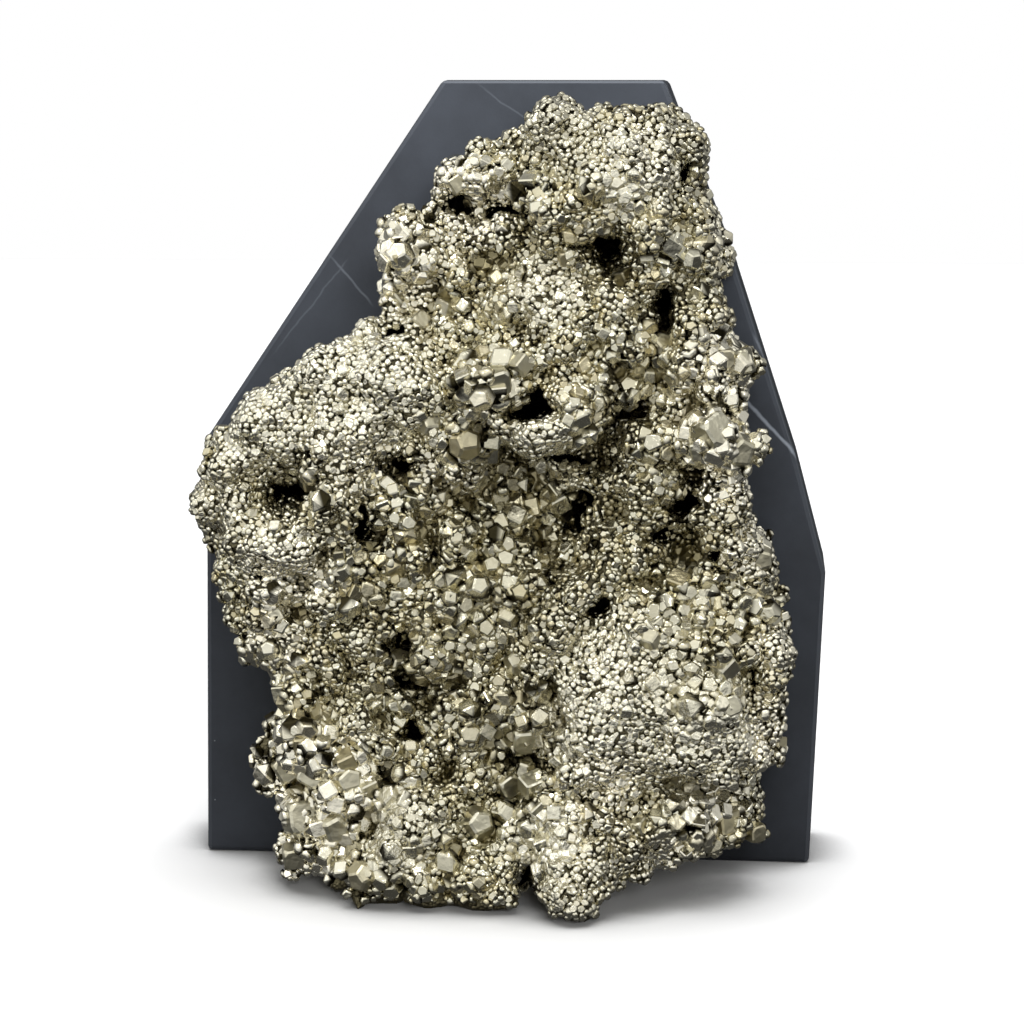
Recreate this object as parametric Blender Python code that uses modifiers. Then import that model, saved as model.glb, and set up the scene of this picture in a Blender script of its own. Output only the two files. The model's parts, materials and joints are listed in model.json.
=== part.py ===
"""Pyrite cluster on an upright stone slab.

The cluster is one natural mass: rounded lobes of grown-together crystals with pits, hollows and
ledges. Its sawn back stands against the front face of a dark stone slab, and its foot rests on the
floor in front of it.

Frame: metres, +Z up, front faces -Y. The origin is the middle of the slab's underside.
"""

import math
import random
from typing import NamedTuple

import bmesh
import bpy
from mathutils import Matrix, Vector, noise

MM = 0.001

# Slab, in millimetres
SLAB_HEIGHT = 158.0
SLAB_THICKNESS = 26.0
SLAB_ARRIS = 0.9
SLAB_BASE_LEFT = -62.5
SLAB_BASE_RIGHT = 61.5
SLAB_SHOULDER = (-61.5, 86.0)
SLAB_TOP_LEFT = -13.0
SLAB_TOP_RIGHT = 31.0
SLAB_RIGHT_EDGE = ((45.0, 122.0), (58.0, 82.5), (64.0, 60.0))
CAP_WELD = 0.01
ARRIS_MIN_ANGLE = math.radians(40.0)

# Cluster, in millimetres
JOINT_GAP = 0.3
BALL_STEP = 1.15
BALL_SHRINK = (0.78, 1.0)
BALL_WANDER = 0.22
FLOOR_CLEARANCE = 0.8
VOXEL = 1.4
SMOOTH_STEPS = 2
SOFTENING_LOSS = 0.4
BODY_TRIANGLES = 5600
MERGE_DISTANCE = 0.003
WIDE_BUMP = (11.0, 1.2)
SMALL_BUMP = (4.5, 0.8)
PIT_EDGE = 1.6
PIT_FLOOR = 3.0
PIT_FACING = (1.5, 0.4)
STANDING_ROOM = (400.0, 100.0, 300.0)

# Crystals fused to the body, in millimetres
SEED = 7
CRYSTAL_COUNT = 170
FINE_CRYSTAL = (2.4, 3.2)
COARSE_CRYSTAL = (3.4, 5.2)
FINE_SHARE = 0.10
STANDING_SHARE = 0.06
CRYSTAL_FACING = -0.25
CRYSTAL_STRETCH = (0.8, 1.15)
CRYSTAL_SPACING = 0.9
SAMPLE_COUNT = 12000
BACKWARD_LIMIT = 0.5
FLOOR_MARGIN = 2.5
SLAB_MARGIN = 4.0
FRONT_PREFERENCE = 0.02


class Lump(NamedTuple):
    """A rounded lobe: its place on the slab's face, how far its front stands out, and its radius."""

    x: float
    z: float
    front: float
    radius: float


class Pit(NamedTuple):
    """A hole sunk into the front: its place, half width, half height and depth."""

    x: float
    z: float
    half_width: float
    half_height: float
    depth: float


class Zone(NamedTuple):
    """A round patch of the front where the crystals grow large."""

    x: float
    z: float
    radius: float


class Single(NamedTuple):
    """One large crystal that stands out: its place, edge length and turn in degrees."""

    x: float
    z: float
    size: float
    turn: float


# Lobes of the cluster, by form, from the crown down
LOBES = {
    "core": (
        Lump(20, 138, 22, 10), Lump(29, 122, 22, 9), Lump(8, 126, 20, 10), Lump(-9, 126, 18, 9),
        Lump(5, 110, 24, 10), Lump(26, 106, 22, 10), Lump(-20, 96, 24, 10), Lump(-40, 80, 22, 10),
        Lump(-20, 74, 24, 10), Lump(0, 84, 20, 10), Lump(18, 84, 22, 10), Lump(36, 88, 24, 8),
        Lump(35, 68, 26, 9), Lump(16, 62, 26, 10), Lump(-10, 56, 26, 10), Lump(-34, 56, 24, 9),
        Lump(-30, 38, 24, 9), Lump(-10, 36, 28, 10), Lump(11, 38, 30, 10), Lump(36, 42, 30, 10),
        Lump(-29, 18, 28, 10), Lump(-8, 16, 30, 10), Lump(12, 20, 30, 9), Lump(30, 24, 28, 9),
        Lump(43, 24, 22, 7), Lump(3, 136.5, 19, 5),
    ),
    "crown": (
        Lump(11, 148.5, 29, 6.5), Lump(20, 146, 30, 7), Lump(27, 143.5, 35, 9), Lump(19, 138, 36, 8.5),
        Lump(29, 138, 36, 8), Lump(37, 144.5, 26, 5), Lump(38, 137, 24, 3.5), Lump(9, 137, 31, 4.5),
        Lump(38.5, 143.5, 30, 4.5),
    ),
    "right brow": (
        Lump(30, 130, 38, 6), Lump(38, 130, 30, 5.5), Lump(41, 124, 27, 4.5), Lump(36, 124, 31, 5),
        Lump(12, 131, 34, 6), Lump(15, 122, 32, 7), Lump(28, 124, 33, 4),
        Lump(26.5, 117.5, 33, 4.5),
    ),
    "upper arm": (
        Lump(-9, 138, 24, 5), Lump(-4, 140, 26, 5), Lump(2, 143, 22, 4), Lump(6, 141, 20, 4.5),
        Lump(-17, 127.5, 25, 6), Lump(-13, 123, 26, 6), Lump(-19, 119.5, 20, 4.5),
        Lump(-6, 128, 25, 6), Lump(1, 127, 27, 6), Lump(-19.5, 127, 21, 5),
    ),
    "neck": (
        Lump(4, 121, 29, 6.5), Lump(-4, 119, 28, 6), Lump(-9, 114, 26, 5.5), Lump(-16, 110, 24, 5),
        Lump(1, 111, 31, 6.5), Lump(9, 114, 34, 7), Lump(19, 113, 37, 6.5), Lump(25, 111, 38, 5),
        Lump(13, 104, 38, 6), Lump(20, 104, 34, 5), Lump(-8.5, 107, 29, 4.5),
        Lump(27, 102.5, 32, 4.5),
    ),
    "left shoulder": (
        Lump(-22, 106, 30, 7), Lump(-32, 99, 35, 8.5), Lump(-19, 100, 38, 9),
        Lump(-43, 91, 34, 8), Lump(-29, 90, 38, 9), Lump(-10, 97, 38, 7.5), Lump(-52, 84.5, 30, 7),
        Lump(-56, 77, 26, 5.5), Lump(-57, 69, 22, 4.5), Lump(-8, 90, 35, 5), Lump(-14, 90, 35, 6),
        Lump(-2.5, 91, 33, 4),
    ),
    "left cheek": (
        Lump(-47, 70, 34, 7.5), Lump(-38, 69, 36, 7), Lump(-29, 77, 38, 6), Lump(-19, 78, 34, 4.5),
        Lump(-45, 60, 31, 6), Lump(-32, 61, 34, 6), Lump(-24, 63, 34, 5), Lump(-49, 77, 30, 6),
        Lump(-52, 63, 25, 5.5), Lump(-50, 56, 26, 5),
        Lump(-28.5, 68.5, 32, 4), Lump(-24, 70, 28, 4),
    ),
    "lip": (
        Lump(10, 93, 44, 6), Lump(4, 94, 41, 4), Lump(16, 95, 42, 5), Lump(6, 104, 39, 4.5),
        Lump(-1, 101, 41, 5), Lump(20, 98, 36, 4),
    ),
    "hollow": (
        Lump(-2, 76, 24, 8), Lump(8, 75, 23, 8), Lump(0, 68, 28, 6), Lump(-10, 74, 31, 6),
        Lump(-17, 69, 33, 4.5), Lump(-6, 83, 26, 5), Lump(14, 82, 24, 5), Lump(-13, 82.5, 31, 4),
        Lump(-9.5, 66, 30, 5), Lump(19.5, 78, 28, 4.5),
    ),
    "right column": (
        Lump(37, 107, 36, 5.5), Lump(39, 114, 32, 5), Lump(46, 104, 30, 3), Lump(43, 99, 33, 4),
        Lump(41, 92, 38, 5.5), Lump(45, 87, 34, 4), Lump(31, 90, 36, 6.5), Lump(28, 83, 33, 6.5),
        Lump(43, 77, 37, 5.5), Lump(45, 70, 35, 5), Lump(31, 74, 34, 4), Lump(22, 70, 32, 5.5),
        Lump(50, 65, 28, 4), Lump(33, 100, 30, 4.5), Lump(33, 81.5, 32, 4), Lump(28, 67, 31, 4.5),
    ),
    "left flank": (
        Lump(-42, 52, 29, 7), Lump(-47, 48, 25, 4.5), Lump(-33, 49, 31, 6), Lump(-40, 41, 28, 6),
        Lump(-30, 39, 30, 6), Lump(-25, 50, 31, 4), Lump(-21, 42, 32, 5),
    ),
    "middle": (
        Lump(-13, 58, 34, 5.5), Lump(-21, 55, 33, 4.5), Lump(-3, 58, 33, 6), Lump(6, 61, 34, 5.5),
        Lump(-11, 49, 35, 5.5), Lump(-1, 46, 33, 6), Lump(9, 49, 36, 5.5), Lump(-5, 36, 36, 6),
        Lump(-13, 30, 35, 5.5), Lump(4, 36, 35, 5.5), Lump(-3, 23, 37, 5.5), Lump(-21, 30, 34, 5),
        Lump(3.5, 54.5, 32, 5), Lump(3, 30.5, 33.5, 5), Lump(9, 30, 34, 4.5),
        Lump(-1.5, 30.5, 33, 4),
    ),
    "bottom left corner": (
        Lump(-40, 30, 29, 5), Lump(-42, 22, 28, 5.5), Lump(-33, 28, 33, 5.5),
        Lump(-37, 14, 31, 5.5), Lump(-38, 8, 28, 4.5), Lump(-28, 19, 35, 6), Lump(-29, 8, 35, 6),
        Lump(-26, 30, 33, 5),
    ),
    "right dome": (
        Lump(20, 62, 38, 6.5), Lump(14, 54, 38, 6.5), Lump(28, 53, 41, 8.5), Lump(39, 59, 36, 7),
        Lump(50, 56, 31, 5), Lump(40, 48, 42, 8.5), Lump(50, 47, 36, 6.5), Lump(28, 41, 43, 9.5),
        Lump(40, 37, 44, 9.5), Lump(50, 37, 38, 6.5), Lump(19, 42, 41, 7), Lump(53, 30, 33, 4),
        Lump(21, 32, 42, 7.5), Lump(30, 31.5, 42, 5.5), Lump(37, 31, 43, 5), Lump(43.5, 31, 41, 5),
        Lump(49.5, 31, 37, 4.5), Lump(27, 24, 40, 5),
    ),
    "base": (
        Lump(-13, 16, 41, 8.5), Lump(-22, 5.6, 41, 6), Lump(-12, 5.2, 43, 6), Lump(-3, 5.2, 44, 6),
        Lump(3, 4.2, 43, 4.5), Lump(-31, 5, 34, 5), Lump(-36, 6, 29, 4.5), Lump(31, 10, 34, 6.5),
        Lump(40, 11, 30, 5.5), Lump(24, 8, 38, 6), Lump(13, 21, 42, 7), Lump(22, 14, 43, 7.5),
        Lump(29, 18, 40, 7),
        Lump(38, 17, 36, 6.5), Lump(47, 16, 26, 5), Lump(50, 11, 25, 3), Lump(5, 13, 38, 5.5),
        Lump(-5, 11, 39, 5.5), Lump(16, 10, 45, 6), Lump(16, 5.5, 50, 6.5), Lump(18.5, 4.8, 48, 5),
    ),
}

# Pits and clefts
PITS = (
    Pit(-39.3, 78, 3.6, 1.7, 12), Pit(-17, 84.6, 2.2, 2.2, 12), Pit(8.4, 96.6, 4.6, 1.7, 12),
    Pit(20.6, 126.8, 2.4, 3.2, 12), Pit(26, 121.5, 2.6, 1.6, 3), Pit(31.8, 114.5, 1.5, 4, 10),
    Pit(39.7, 139, 1.2, 3.6, 7), Pit(36.5, 77, 1.8, 3.8, 10), Pit(42.4, 67.4, 1.4, 2.2, 8),
    Pit(19.8, 57.8, 1.7, 1.5, 7), Pit(1.5, 133, 4, 1.4, 4), Pit(-7.5, 133.4, 2.8, 1.4, 3),
    Pit(-24.2, 73.4, 1.3, 4.4, 9), Pit(-16.9, 41.2, 2.8, 1.5, 8), Pit(-16.7, 33.6, 1.5, 2, 6),
    Pit(9.8, 27.8, 2.6, 1.2, 6), Pit(15.8, 75, 1.3, 4.5, 7), Pit(31.7, 71.2, 2.6, 1.6, 6),
    Pit(27.6, 102, 6.5, 1.6, 4), Pit(24.5, 95.5, 3.5, 2.2, 7), Pit(7.1, 4.5, 1, 4.5, 12),
    Pit(26.5, 9.2, 1.8, 1.6, 5), Pit(42.5, 22.5, 6, 2.2, 9), Pit(-35.3, 87, 1.8, 1.4, 4),
    Pit(-20.2, 110.8, 2.6, 1.4, 5), Pit(-1, 123.2, 3.6, 1.4, 4),
)

# Patches of coarse crystals
COARSE_ZONES = (
    Zone(-40, 20, 17), Zone(-30, 8, 12), Zone(47, 14, 11), Zone(44, 94, 12), Zone(2, 72, 17),
    Zone(2, 32, 15), Zone(-18, 30, 12), Zone(27, 108, 10), Zone(-20, 122, 7), Zone(-36, 82, 8),
)

# Crystals that stand out one by one
SINGLES = (
    Single(-1.5, 101, 6.0, 20), Single(41, 91, 6.5, 38), Single(47.5, 104, 4.6, 12),
    Single(-37, 82.5, 5.4, 50), Single(-38, 31, 5.6, 33), Single(-36, 39, 4.8, 15),
    Single(46, 13.5, 6.0, 8), Single(-19.5, 125, 5.0, 62), Single(8, 35, 5.6, 27),
    Single(-38, 8, 6.0, 41), Single(44, 28, 4.4, 55), Single(-9, 85, 5.0, 70),
)

PYRITE_COLOUR = (0.46, 0.43, 0.31, 1.0)
PYRITE_ROUGHNESS = 0.28
STONE_COLOUR = (0.045, 0.050, 0.060, 1.0)
STONE_ROUGHNESS = 0.55


def clear_scene():
    """Removes the objects that the start-up file holds."""
    for thing in list(bpy.data.objects):
        bpy.data.objects.remove(thing, do_unlink=True)


def make_collection(name):
    """Returns a new collection under the scene's own."""
    collection = bpy.data.collections.new(name)
    bpy.context.scene.collection.children.link(collection)
    return collection


def make_material(name, colour, roughness, metallic):
    """Returns a plain Principled material."""
    material = bpy.data.materials.new(name)
    material.use_nodes = True
    shader = material.node_tree.nodes["Principled BSDF"]
    shader.inputs["Base Color"].default_value = colour
    shader.inputs["Roughness"].default_value = roughness
    shader.inputs["Metallic"].default_value = metallic
    return material


def add_object(name, data, collection):
    """Returns a new object in the collection."""
    thing = bpy.data.objects.new(name, data)
    collection.objects.link(thing)
    return thing


def evaluated_mesh(thing):
    """Returns a plain mesh of an object as its modifiers leave it."""
    graph = bpy.context.evaluated_depsgraph_get()
    graph.update()
    return bpy.data.meshes.new_from_object(thing.evaluated_get(graph))


def bake_modifiers(thing):
    """Gives an object the mesh that its modifiers make, and drops the modifiers."""
    mesh = evaluated_mesh(thing)
    thing.modifiers.clear()
    thing.data = mesh


def front_plane():
    """Returns the slab's front face, as a Y value in metres."""
    return -SLAB_THICKNESS / 2.0 * MM


def slab_outline():
    """Returns the slab's outline seen from the front, in millimetres."""
    return (
        (SLAB_BASE_LEFT, 0.0),
        (SLAB_BASE_RIGHT, 0.0),
        *reversed(SLAB_RIGHT_EDGE),
        (SLAB_TOP_RIGHT, SLAB_HEIGHT),
        (SLAB_TOP_LEFT, SLAB_HEIGHT),
        SLAB_SHOULDER,
    )


def build_slab(collection, material):
    """Builds the upright stone slab: a flat outline with thickness and softly broken arrises."""
    curve = bpy.data.curves.new("stone_slab_outline", "CURVE")
    curve.dimensions = "2D"
    curve.fill_mode = "BOTH"
    curve.extrude = SLAB_THICKNESS / 2.0 * MM
    outline = slab_outline()
    spline = curve.splines.new("POLY")
    spline.points.add(len(outline) - 1)
    for point, (x, z) in zip(spline.points, outline):
        point.co = (x * MM, z * MM, 0.0, 1.0)
    spline.use_cyclic_u = True
    slab = add_object("stone_slab", curve, collection)
    slab.rotation_euler = (math.radians(90.0), 0.0, 0.0)
    curve.materials.append(material)
    weld = slab.modifiers.new("close caps", "WELD")
    weld.merge_threshold = CAP_WELD * MM
    bevel = slab.modifiers.new("broken arris", "BEVEL")
    bevel.width = SLAB_ARRIS * MM
    bevel.segments = 2
    bevel.limit_method = "ANGLE"
    bevel.angle_limit = ARRIS_MIN_ANGLE
    return slab


def lobe_balls(lump, chance):
    """Returns the balls of one lobe as centre and radius, in millimetres, from the front backwards.

    The front ball is the lobe that shows. Those behind it wander and shrink, so that the flanks are
    knobbly, and near the floor they rise, so that only the front stands on it.
    """
    radius = lump.radius + SOFTENING_LOSS
    depth = lump.front + SOFTENING_LOSS - radius
    balls = [((lump.x, -depth, lump.z), radius)]
    while depth > 0.0:
        depth -= radius * BALL_STEP
        size = radius * chance.uniform(*BALL_SHRINK)
        wander = radius * BALL_WANDER
        x = lump.x + chance.uniform(-wander, wander)
        z = max(lump.z + chance.uniform(-wander, wander), size + FLOOR_CLEARANCE)
        balls.append(((x, -depth, z), size))
    return balls


def build_body(collection, material):
    """Builds the cluster's lobes as one fused mass, on a fine even mesh."""
    chance = random.Random(SEED)
    face = front_plane()
    lobes = bmesh.new()
    for form in LOBES.values():
        for lump in form:
            for (x, y, z), radius in lobe_balls(lump, chance):
                place = Matrix.Translation((x * MM, y * MM + face, z * MM))
                bmesh.ops.create_icosphere(lobes, subdivisions=2, radius=radius * MM, matrix=place)
    mesh = bpy.data.meshes.new("pyrite_cluster")
    lobes.to_mesh(mesh)
    lobes.free()
    mesh.materials.append(material)
    body = add_object("pyrite_cluster", mesh, collection)
    remesh = body.modifiers.new("fuse", "REMESH")
    remesh.mode = "VOXEL"
    remesh.voxel_size = VOXEL * MM
    smooth = body.modifiers.new("soften", "SMOOTH")
    smooth.factor = 0.5
    smooth.iterations = SMOOTH_STEPS
    bake_modifiers(body)
    return body


def smooth_step(value):
    """Returns a soft 0 to 1 ramp."""
    value = max(0.0, min(1.0, value))
    return value * value * (3.0 - 2.0 * value)


def pit_depth(pit, x, z):
    """Returns how deep a pit is at a place on the front, in millimetres."""
    reach = math.hypot((x - pit.x) / pit.half_width, (z - pit.z) / pit.half_height)
    return pit.depth * smooth_step(PIT_EDGE - reach)


def roughen(body):
    """Raises bumps all over the body and sinks the pits into its front."""
    face = front_plane()
    surface = bmesh.new()
    surface.from_mesh(body.data)
    surface.normal_update()
    moves = []
    for vertex in surface.verts:
        move = Vector((0.0, 0.0, 0.0))
        for wave, height in (WIDE_BUMP, SMALL_BUMP):
            value = noise.noise(vertex.co / (wave * MM))
            move += vertex.normal * value * height * MM
        x, z = vertex.co.x / MM, vertex.co.z / MM
        room = (face - vertex.co.y) / MM - PIT_FLOOR
        sunk = max(pit_depth(pit, x, z) for pit in PITS)
        facing = smooth_step(-vertex.normal.y * PIT_FACING[0] + PIT_FACING[1])
        move.y += max(0.0, min(sunk * facing, room)) * MM
        moves.append(move)
    for vertex, move in zip(surface.verts, moves):
        vertex.co += move
    surface.to_mesh(body.data)
    surface.free()


def thin_out(body, triangles):
    """Reduces the body to about the given number of triangles."""
    remesh = body.modifiers.new("even out", "REMESH")
    remesh.mode = "VOXEL"
    remesh.voxel_size = VOXEL * MM
    bake_modifiers(body)
    faces = sum(len(face.vertices) - 2 for face in body.data.polygons)
    decimate = body.modifiers.new("thin out", "DECIMATE")
    decimate.ratio = triangles / faces
    decimate.use_collapse_triangulate = True
    bake_modifiers(body)


def add_cutter(name, mesh, cutters):
    """Returns a cutter object, hidden from renders."""
    cutter = add_object(name, mesh, cutters)
    cutter.hide_render = True
    cutter.display_type = "WIRE"
    return cutter


def saw_flat(body, cutters):
    """Keeps what stands in front of the slab and above the floor, cut flat there."""
    width, depth, height = STANDING_ROOM
    keep = bmesh.new()
    bmesh.ops.create_cube(keep, size=1.0)
    bmesh.ops.scale(keep, vec=Vector((width, depth, height)) * MM, verts=keep.verts)
    back = front_plane() - JOINT_GAP * MM
    middle = Vector((0.0, back - depth / 2.0 * MM, height / 2.0 * MM))
    bmesh.ops.translate(keep, vec=middle, verts=keep.verts)
    mesh = bpy.data.meshes.new("standing_room")
    keep.to_mesh(mesh)
    keep.free()
    cutter = add_cutter("standing_room", mesh, cutters)
    cut = body.modifiers.new("saw flat", "BOOLEAN")
    cut.operation = "INTERSECT"
    cut.object = cutter
    bake_modifiers(body)


def is_coarse(x, z):
    """Says whether a place on the front lies in a patch of coarse crystals."""
    return any(math.hypot(x - zone.x, z - zone.z) < zone.radius for zone in COARSE_ZONES)


def front_points(body, count, chance):
    """Returns random places on the body's outside, each with its normal, in metres."""
    body.data.calc_loop_triangles()
    triangles = [
        tri for tri in body.data.loop_triangles
        if tri.normal.y < BACKWARD_LIMIT and tri.center.z > FLOOR_MARGIN * MM
        and tri.center.y < front_plane() - SLAB_MARGIN * MM
    ]
    areas = [tri.area for tri in triangles]
    points = []
    for tri in chance.choices(triangles, weights=areas, k=count):
        a, b, c = (body.data.vertices[index].co for index in tri.vertices)
        u, v = chance.random(), chance.random()
        if u + v > 1.0:
            u, v = 1.0 - u, 1.0 - v
        points.append((a + (b - a) * u + (c - a) * v, tri.normal.copy()))
    return points


def nearest_front(points, single):
    """Returns the sampled place that lies closest to where a single crystal stands."""
    def distance(item):
        place = item[0]
        off = math.hypot(place.x / MM - single.x, place.z / MM - single.z)
        return off + FRONT_PREFERENCE * (place.y - front_plane()) / MM
    return min(points, key=distance)


def choose_crystals(body, chance):
    """Returns the crystals as place, normal, edge length and turn, none touching another."""
    points = front_points(body, SAMPLE_COUNT, chance)
    chosen = []
    for single in SINGLES:
        place, normal = nearest_front(points, single)
        chosen.append((place, normal, single.size * MM, math.radians(single.turn)))
    for place, normal in points:
        if len(chosen) >= CRYSTAL_COUNT:
            break
        coarse = is_coarse(place.x / MM, place.z / MM)
        if not coarse and chance.random() > FINE_SHARE:
            continue
        facing = normal.y < CRYSTAL_FACING
        low, high = COARSE_CRYSTAL if coarse and facing else FINE_CRYSTAL
        size = chance.uniform(low, high) * MM
        turn = chance.uniform(0.0, math.tau)
        if all((place - other[0]).length > CRYSTAL_SPACING * (size + other[2]) for other in chosen):
            chosen.append((place, normal, size, turn))
    return chosen


def add_crystal(mesh, place, normal, size, turn, chance):
    """Adds one crystal, a cube that stands askew on the surface and is partly sunk into it."""
    askew = Vector([chance.uniform(-1.0, 1.0) for _ in range(3)])
    up = (normal + askew).normalized()
    lay = up.to_track_quat("Z", "Y").to_matrix().to_4x4() @ Matrix.Rotation(turn, 4, "Z")
    centre = place + normal * size * STANDING_SHARE
    matrix = Matrix.Translation(centre) @ lay
    made = bmesh.ops.create_cube(mesh, size=size, matrix=matrix)
    stretch = chance.uniform(*CRYSTAL_STRETCH)
    for vertex in made["verts"]:
        vertex.co = centre + (vertex.co - centre) * stretch


def grow_crystals(body, cutters):
    """Fuses crystals with flat faces to the body, large ones in the coarse patches."""
    chance = random.Random(SEED)
    crystals = bmesh.new()
    for place, normal, size, turn in choose_crystals(body, chance):
        add_crystal(crystals, place, normal, size, turn, chance)
    mesh = bpy.data.meshes.new("crystals")
    crystals.to_mesh(mesh)
    crystals.free()
    tool = add_cutter("crystals", mesh, cutters)
    join = body.modifiers.new("grow crystals", "BOOLEAN")
    join.operation = "UNION"
    join.object = tool
    bake_modifiers(body)


def largest_piece(surface):
    """Returns the faces of the largest connected piece of a mesh."""
    left = set(surface.faces)
    largest = set()
    while left:
        start = left.pop()
        piece, edge_of_search = {start}, [start]
        while edge_of_search:
            for edge in edge_of_search.pop().edges:
                for face in edge.link_faces:
                    if face in left:
                        left.discard(face)
                        piece.add(face)
                        edge_of_search.append(face)
        if len(piece) > len(largest):
            largest = piece
    return largest


def close_seams(body):
    """Drops crumbs, merges points that the cuts left together, and leaves plain triangles."""
    surface = bmesh.new()
    surface.from_mesh(body.data)
    kept = largest_piece(surface)
    crumbs = [face for face in surface.faces if face not in kept]
    bmesh.ops.delete(surface, geom=crumbs, context="FACES")
    bmesh.ops.remove_doubles(surface, verts=surface.verts, dist=MERGE_DISTANCE * MM)
    bmesh.ops.dissolve_degenerate(surface, edges=surface.edges, dist=MERGE_DISTANCE * MM)
    bmesh.ops.triangulate(surface, faces=surface.faces)
    surface.to_mesh(body.data)
    surface.free()


def build_cluster(collection, cutters, material):
    """Builds the pyrite cluster as one solid."""
    body = build_body(collection, material)
    roughen(body)
    thin_out(body, BODY_TRIANGLES)
    saw_flat(body, cutters)
    grow_crystals(body, cutters)
    saw_flat(body, cutters)
    close_seams(body)
    return body


def main():
    """Builds the slab and the cluster."""
    clear_scene()
    collection = make_collection("pyrite cluster")
    cutters = make_collection("cutters")
    stone = make_material("stone", STONE_COLOUR, STONE_ROUGHNESS, 0.0)
    pyrite = make_material("pyrite", PYRITE_COLOUR, PYRITE_ROUGHNESS, 1.0)
    build_slab(collection, stone)
    build_cluster(collection, cutters, pyrite)


main()
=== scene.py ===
"""Looks of the pyrite cluster on its upright stone slab.

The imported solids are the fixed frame. The cluster's solid is stood for by a finer crust of the same
lobes, and by several layers of small crystals that Geometry Nodes grow on that crust. The slab keeps
its solid and gets a honed stone finish. A plain studio stands around them.

Frame: metres, +Z up, front faces -Y, origin in the middle of the slab's underside.
"""

import json
import logging
import math
import random
from dataclasses import dataclass
from enum import Enum

import bmesh
import bpy
import numpy as np
from mathutils import Euler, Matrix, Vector, noise
from mathutils.bvhtree import BVHTree

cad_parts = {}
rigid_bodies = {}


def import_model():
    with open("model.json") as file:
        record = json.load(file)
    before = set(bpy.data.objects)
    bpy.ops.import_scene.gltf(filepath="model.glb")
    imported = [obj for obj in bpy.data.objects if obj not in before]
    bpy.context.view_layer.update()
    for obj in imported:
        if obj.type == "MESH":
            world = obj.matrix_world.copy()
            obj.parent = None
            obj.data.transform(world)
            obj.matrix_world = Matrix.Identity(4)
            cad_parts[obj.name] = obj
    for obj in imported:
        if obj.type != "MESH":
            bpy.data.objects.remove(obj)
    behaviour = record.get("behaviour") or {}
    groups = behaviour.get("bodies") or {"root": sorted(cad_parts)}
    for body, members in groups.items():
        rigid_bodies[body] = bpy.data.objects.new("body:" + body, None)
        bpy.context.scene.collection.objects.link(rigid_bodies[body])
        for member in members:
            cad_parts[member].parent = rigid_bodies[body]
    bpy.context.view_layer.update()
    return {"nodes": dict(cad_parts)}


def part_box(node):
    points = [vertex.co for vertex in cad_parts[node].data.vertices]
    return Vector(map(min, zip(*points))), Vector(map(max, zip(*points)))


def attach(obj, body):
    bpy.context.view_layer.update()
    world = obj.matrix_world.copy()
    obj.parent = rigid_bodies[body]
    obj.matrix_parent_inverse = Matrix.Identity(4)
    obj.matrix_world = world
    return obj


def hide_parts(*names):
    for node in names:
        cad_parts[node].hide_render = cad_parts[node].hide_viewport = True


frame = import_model()

MM = 0.001
CLUSTER_NODE = "pyrite_cluster"
SLAB_NODE = "stone_slab"

log = logging.getLogger("pyrite")


class Slot(Enum):
    """The record's material slots."""

    PYRITE = "pyrite"
    STONE = "stone"


class Facing(Enum):
    """Which part of the crust a layer of crystals grows on."""

    FRONT = "front"
    FLANK = "flank"


class Number:
    """A shader socket that takes part in Python arithmetic."""

    def __init__(self, graph: "Graph", socket: bpy.types.NodeSocket) -> None:
        """Wraps an output socket of a node tree."""
        self.graph = graph
        self.socket = socket

    def math(self, operation: str, *others: "Number | float", swap: bool = False) -> "Number":
        """Adds a Math node on this value.

        Args:
            operation: the Math node's operation.
            others: the other operands.
            swap: whether the first of the others comes before this value.

        Returns:
            The node's result.
        """
        terms = [self, *others]
        if swap:
            terms[0], terms[1] = terms[1], terms[0]
        return self.graph.number("ShaderNodeMath", 0, {"operation": operation}, dict(enumerate(terms)))

    def __add__(self, other: "Number | float") -> "Number":
        """Adds."""
        return self.math("ADD", other)

    def __mul__(self, other: "Number | float") -> "Number":
        """Multiplies."""
        return self.math("MULTIPLY", other)

    def __sub__(self, other: "Number | float") -> "Number":
        """Subtracts."""
        return self.math("SUBTRACT", other)

    def __rsub__(self, other: "Number | float") -> "Number":
        """Subtracts from the other."""
        return self.math("SUBTRACT", other, swap=True)

    def __truediv__(self, other: "Number | float") -> "Number":
        """Divides."""
        return self.math("DIVIDE", other)

    def power(self, exponent: float) -> "Number":
        """Raises to a power."""
        return self.math("POWER", exponent)

    def step(self, low: float, high: float) -> "Number":
        """Returns a soft ramp from 0 where this value is low to 1 where it is high."""
        settings = {"interpolation_type": "SMOOTHSTEP", "clamp": True}
        sockets = {"Value": self, "From Min": low, "From Max": high}
        return self.graph.number("ShaderNodeMapRange", "Result", settings, sockets)


class Tree:
    """A node tree under construction."""

    def __init__(self, tree: bpy.types.NodeTree) -> None:
        """Empties the given tree."""
        self.tree = tree
        self.tree.nodes.clear()

    def add(self, kind: str, settings: dict | None = None, inputs: dict | None = None) -> bpy.types.Node:
        """Adds a node.

        Args:
            kind: the node's type.
            settings: values of its own properties, set first.
            inputs: values or links of its sockets, by name or number.

        Returns:
            The new node.
        """
        node = self.tree.nodes.new(kind)
        for name, value in (settings or {}).items():
            setattr(node, name, value)
        for key, value in (inputs or {}).items():
            value = value.socket if isinstance(value, Number) else value
            if isinstance(value, bpy.types.NodeSocket):
                self.tree.links.new(value, node.inputs[key])
            else:
                node.inputs[key].default_value = value
        return node


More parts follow.
